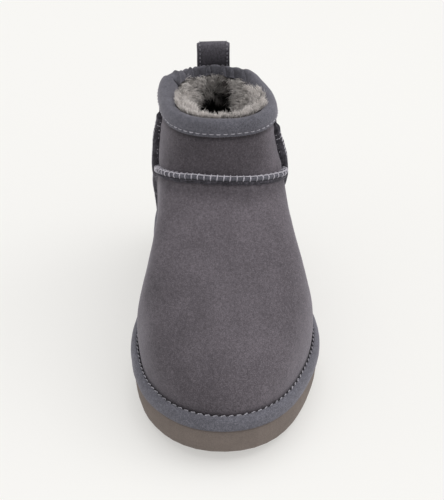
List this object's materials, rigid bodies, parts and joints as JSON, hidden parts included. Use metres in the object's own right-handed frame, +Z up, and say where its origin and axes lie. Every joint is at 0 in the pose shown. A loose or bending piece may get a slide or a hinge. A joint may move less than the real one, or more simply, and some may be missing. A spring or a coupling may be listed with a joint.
{
  "type": "sheepskin boot",
  "caption": "Low ankle-height sheepskin slipper boot, left foot: suede outside, wool inside, bound collar, heel pull loop, wrapped edge band and moulded foam sole.",
  "frame": {"origin": "centre of the bounding box in plan, on the floor the boot stands on", "axes": "+Z up; +Y from the toe to the heel, so the toe points along -Y; +X to the outer, little-toe side of this left boot"},
  "size_m": [0.1118, 0.2726, 0.141],
  "materials": {
    "suede": "napped sheepskin suede outside, wool inside",
    "suede_trim": "smooth suede binding and edge band",
    "foam_sole": "matt moulded foam rubber",
    "wool": "curly wool pile"
  },
  "bodies": {
    "root": {"outsole": "foam_sole", "foxing": "suede_trim", "insole": "wool", "upper": "suede", "collar_binding": "suede_trim", "pull_loop": "suede_trim"}
  },
  "joints": []
}
